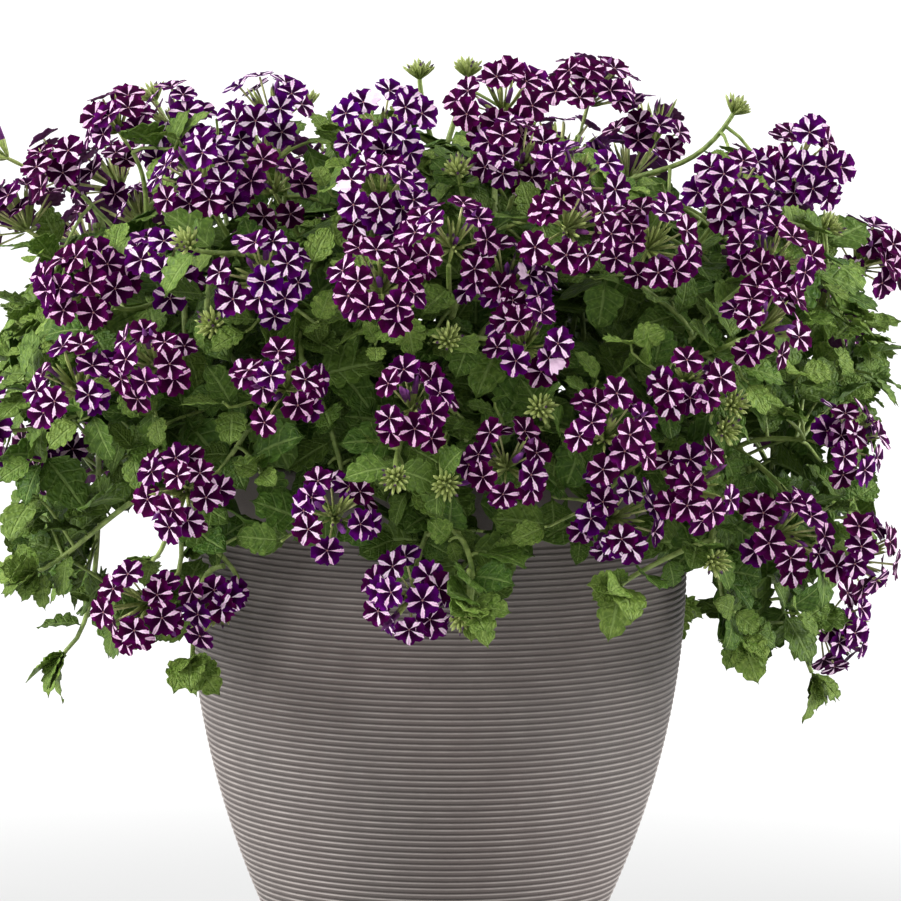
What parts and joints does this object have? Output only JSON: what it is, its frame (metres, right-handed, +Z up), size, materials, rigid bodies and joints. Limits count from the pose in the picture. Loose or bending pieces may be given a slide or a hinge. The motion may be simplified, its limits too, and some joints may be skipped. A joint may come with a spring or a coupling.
{
  "type": "verbena in a pot",
  "caption": "Mounded bedding verbena in full flower, with rounded heads of notched purple and white florets over toothed leaves, in a tall round pot with fine ribs.",
  "frame": {"origin": "centre of the pot's flat underside", "axes": "+Z up along the pot's axis; -Y is the front, where most of the flower heads face; +X is to the right seen from the front"},
  "size_m": [0.6031, 0.5984, 0.5805],
  "materials": {
    "pot": "matte taupe grey, finely ribbed, with a smooth rim band and faint paler streaks",
    "soil": "dark crumbly potting mix",
    "foliage": "soft matte green leaves with paler sunken veins",
    "petals": "velvety dark purple florets with pale lilac to white margins"
  },
  "bodies": {
    "root": {"pot": "pot", "soil": "soil", "leafy_stem_01": "foliage", "leafy_stem_02": "foliage", "leafy_stem_03": "foliage", "leafy_stem_04": "foliage", "leafy_stem_05": "foliage", "leafy_stem_06": "foliage", "leafy_stem_07": "foliage", "leafy_stem_08": "foliage", "leafy_stem_09": "foliage", "leafy_stem_10": "foliage", "leafy_stem_11": "foliage", "leafy_stem_12": "foliage", "bloom_01": "petals", "bloom_02": "petals", "bloom_03": "petals", "bloom_04": "petals", "bloom_05": "petals", "bloom_06": "petals", "bloom_07": "petals", "bloom_08": "petals", "bloom_09": "petals", "bloom_10": "petals", "bloom_11": "petals", "bloom_12": "petals", "bloom_13": "petals", "bloom_14": "petals", "bloom_15": "petals", "bloom_16": "petals", "bloom_17": "petals", "bloom_18": "petals", "bloom_19": "petals", "bloom_20": "petals", "bloom_21": "petals", "bloom_22": "petals", "bloom_23": "petals", "bloom_24": "petals", "bloom_25": "petals", "bloom_26": "petals", "bloom_27": "petals", "bloom_28": "petals", "bloom_29": "petals", "bloom_30": "petals", "bloom_31": "petals", "bloom_32": "petals", "bloom_33": "petals", "bloom_34": "petals", "bloom_35": "petals", "bloom_36": "petals", "bloom_37": "petals", "bloom_38": "petals", "bloom_39": "petals", "bloom_40": "petals", "bloom_41": "petals", "bloom_42": "petals", "bloom_43": "petals", "bloom_44": "petals", "bloom_45": "petals", "bloom_46": "petals"}
  },
  "joints": []
}
